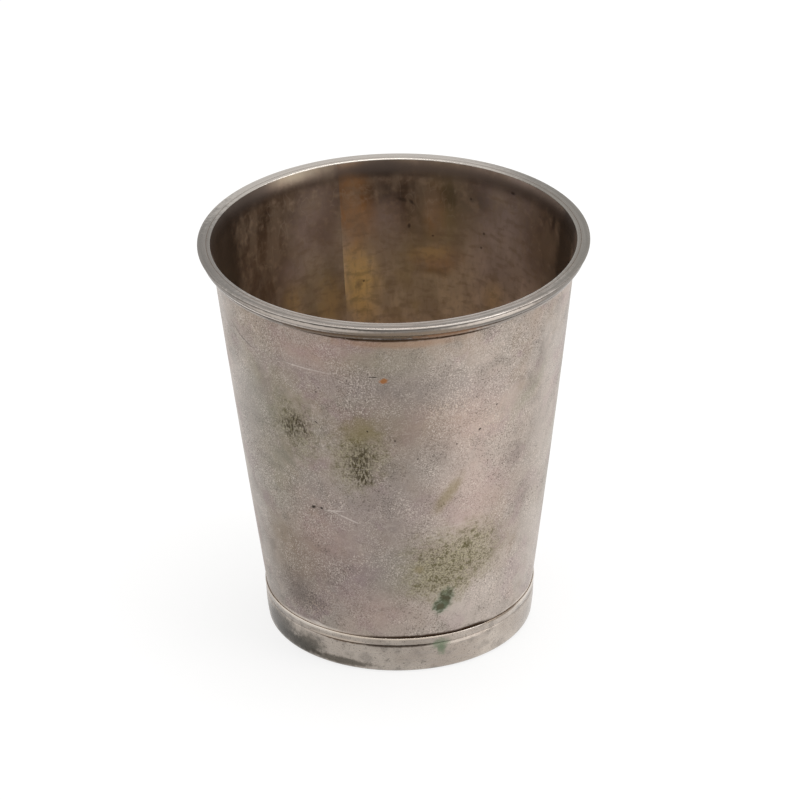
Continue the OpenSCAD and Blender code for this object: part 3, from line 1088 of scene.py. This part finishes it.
dress(sheet, "body_wall", "tarnished_silver_sheet", silver_outside, silver_inside, lip_finish)
dress(seam, "seam_solder", "silver_solder", seam_finish, silver_inside, lip_finish)
dress(lip, "lip_moulding", "rubbed_silver_wire", lip_finish)
dress(lip_solder, "lip_solder", "dark_solder", dark_finish)
dress(disc, "base_plate", "base_silver", disc_finish)
dress(disc_solder, "base_solder", "silver_solder", seam_finish)
dress(foot, "foot_moulding", "rubbed_silver_wire", foot_finish)
dress(foot_solder, "foot_solder", "dark_solder", foot_solder_finish)


def faces_inwards(face):
    """True for a face of the sheet's inner skin, below the softened edge of the lip."""
    centre = face.calc_center_median()
    radius = math.hypot(centre.x, centre.y)
    return radius < wall_outside(centre.z) - wall_thickness / 2 and centre.z < edge_level


def rubbed_edge(face):
    """True for a face of the softened edge along the top."""
    return face.calc_center_median().z > edge_level


for skinned in (sheet, seam):
    edit(skinned)
    for slot, test in ((1, faces_inwards), (2, rubbed_edge)):
        select_by(skinned, test)
        skinned.active_material_index = slot
        bpy.ops.object.material_slot_assign()
    bpy.ops.object.mode_set(mode="OBJECT")

# %% [markdown]
# Table and light
#
# The cup stands on a white table in soft light. The floor is nearly white by its colour. For the
# camera and for the mirroring silver most of its white is its own, so it stays even, and the cup's
# shadow shows only faintly. One large lamp hangs overhead and one stands low on the right. Silver
# shows nothing but what it mirrors, so where a studio would hold a grey card beside it, a film lies
# on the table here. It is smoked in one wide sector in front, and only mirrors show it: that is what
# gives the wall its quiet middle between two bright sides.

# %% The table
FLOOR_SIZE = 4.0
EVEN_SHARE = 0.78


def seen_directly(tree):
    """1 for rays from the camera, mirrored or let through, 0 for rays that gather light."""
    path = add("LightPath", {}, {}, out=None, tree=tree)
    seen = path.outputs["Is Camera Ray"]
    for kind in ("Is Glossy Ray", "Is Transmission Ray"):
        seen = reckon("MAXIMUM", seen, path.outputs[kind])
    return seen


def studio_floor():
    """Nearly white card. Eye and mirror see mostly an even white, with a faint shadow."""
    made, tree = new_material("white_card")
    lit = add("BsdfDiffuse", {}, {"Color": linear("#F4F3F1")}, tree=tree)
    even = add("Emission", {}, {"Color": linear("#FFFFFF"), "Strength": 1.0}, tree=tree)
    share = times(seen_directly(tree), EVEN_SHARE)
    add("OutputMaterial", {}, {"Surface": add("MixShader", {}, {0: share, 1: lit, 2: even})})
    return made


bpy.ops.mesh.primitive_plane_add(size=FLOOR_SIZE)
floor = bpy.context.object
floor.name = "floor"
floor.data.materials.append(studio_floor())
print("The table is", FLOOR_SIZE, "m wide")

# %% Room and lamps
world = bpy.data.worlds.new("soft_room")
bpy.context.scene.world = world
world.use_nodes = True
world.node_tree.nodes.clear()
ROOM_LEVEL = 0.9
seen = seen_directly(world.node_tree)
strength = between(seen, ROOM_LEVEL, 1.0)
room = add("Background", {}, {"Color": linear("#FFFFFF"), "Strength": strength})
add("OutputWorld", {}, {"Surface": room})


def softbox(name, place, width, height, watts):
    """An area lamp aimed at the middle of the cup."""
    lamp = bpy.data.lights.new(name, "AREA")
    lamp.shape = "RECTANGLE"
    lamp.size = width
    lamp.size_y = height
    lamp.energy = watts
    holder = bpy.data.objects.new(name, lamp)
    bpy.context.collection.objects.link(holder)
    holder.location = place
    aim = Vector((0, 0, cup_height / 2)) - Vector(place)
    holder.rotation_euler = aim.to_track_quat("-Z", "Y").to_euler()
    print(name, "shines with", watts, "W")


softbox("top_lamp", place=(0.08, 0.05, 0.9), width=0.5, height=0.5, watts=4.0)
softbox("side_lamp", place=(0.95, -0.4, 0.42), width=0.6, height=0.5, watts=4.0)

# %% The smoked film
FILM_RADIUS = 0.6
FILM_LIFT = 0.2 * MM
FILM_SIDES = 64
SMOKE_AZIMUTH = math.radians(-131)
SMOKE_HALF_WIDTH = math.radians(57)
SMOKE_SOFTNESS = math.radians(20)
SMOKE_SHARE = 0.28


def smoked_film():
    """Clear film that is smoked in one sector, and that only mirrors show."""
    made, tree = new_material("smoked_film")
    coordinates = add("TexCoord", {}, {}, out=3, tree=tree)
    parts = axes(mapped(coordinates, Rotation=(0, 0, -SMOKE_AZIMUTH)))
    off = reckon("ABSOLUTE", reckon("ARCTAN2", parts[1], parts[0]))
    smoke = ramp(off, SMOKE_HALF_WIDTH + SMOKE_SOFTNESS, SMOKE_HALF_WIDTH - SMOKE_SOFTNESS)
    film = add("BsdfTransparent", {}, {"Color": between(smoke, 1.0, 1.0 - SMOKE_SHARE)})
    add("OutputMaterial", {}, {"Surface": film})
    return made


bpy.ops.mesh.primitive_circle_add(vertices=FILM_SIDES, radius=FILM_RADIUS, fill_type="NGON",
                                  location=(0, 0, FILM_LIFT))
film = bpy.context.object
film.name = "smoked_film"
film.data.materials.append(smoked_film())
film.visible_camera = False
film.visible_diffuse = False
film.visible_shadow = False
print("The film reaches", FILM_RADIUS, "m out")

# %% [markdown]
# The camera
#
# The cup was photographed with a long lens from about a metre and a third away, looking down at 28
# degrees. The camera's place is found from that distance and elevation, and its three axes are
# turned by the small errors of aim that were measured on the lip and the foot.

# %% The camera
ELEVATION = math.radians(28.19)
DISTANCE = 1360.7 * MM
FOCAL_PIXELS = 6381.5
PICTURE_PIXELS = 800
SENSOR_WIDTH = 36.0
CLIP_END = 20.0
AIM_YAW = math.radians(-0.0314)
AIM_PITCH = math.radians(0.2261)
AIM_ROLL = math.radians(1.0461)

place = Vector((0, -DISTANCE * math.cos(ELEVATION), cup_height / 2 + DISTANCE * math.sin(ELEVATION)))
ahead = Vector((0, math.cos(ELEVATION), -math.sin(ELEVATION)))
right = Vector((1, 0, 0))
up = right.cross(ahead)
yaw = Matrix.Rotation(AIM_YAW, 3, up)
ahead, right = yaw @ ahead, yaw @ right
pitch = Matrix.Rotation(AIM_PITCH, 3, right)
ahead, up = pitch @ ahead, pitch @ up
roll = Matrix.Rotation(AIM_ROLL, 3, ahead)
right, up = roll @ right, roll @ up

camera_data = bpy.data.cameras.new("camera")
camera_data.sensor_width = SENSOR_WIDTH
camera_data.lens = FOCAL_PIXELS / PICTURE_PIXELS * SENSOR_WIDTH
camera_data.clip_end = CLIP_END
camera = bpy.data.objects.new("camera", camera_data)
bpy.context.collection.objects.link(camera)
turned = Matrix((right, up, -ahead)).transposed()
camera.matrix_world = Matrix.Translation(place) @ turned.to_4x4()
bpy.context.scene.camera = camera
bpy.context.scene.view_settings.view_transform = "Standard"
print("Lens", round(camera_data.lens, 1), "mm")
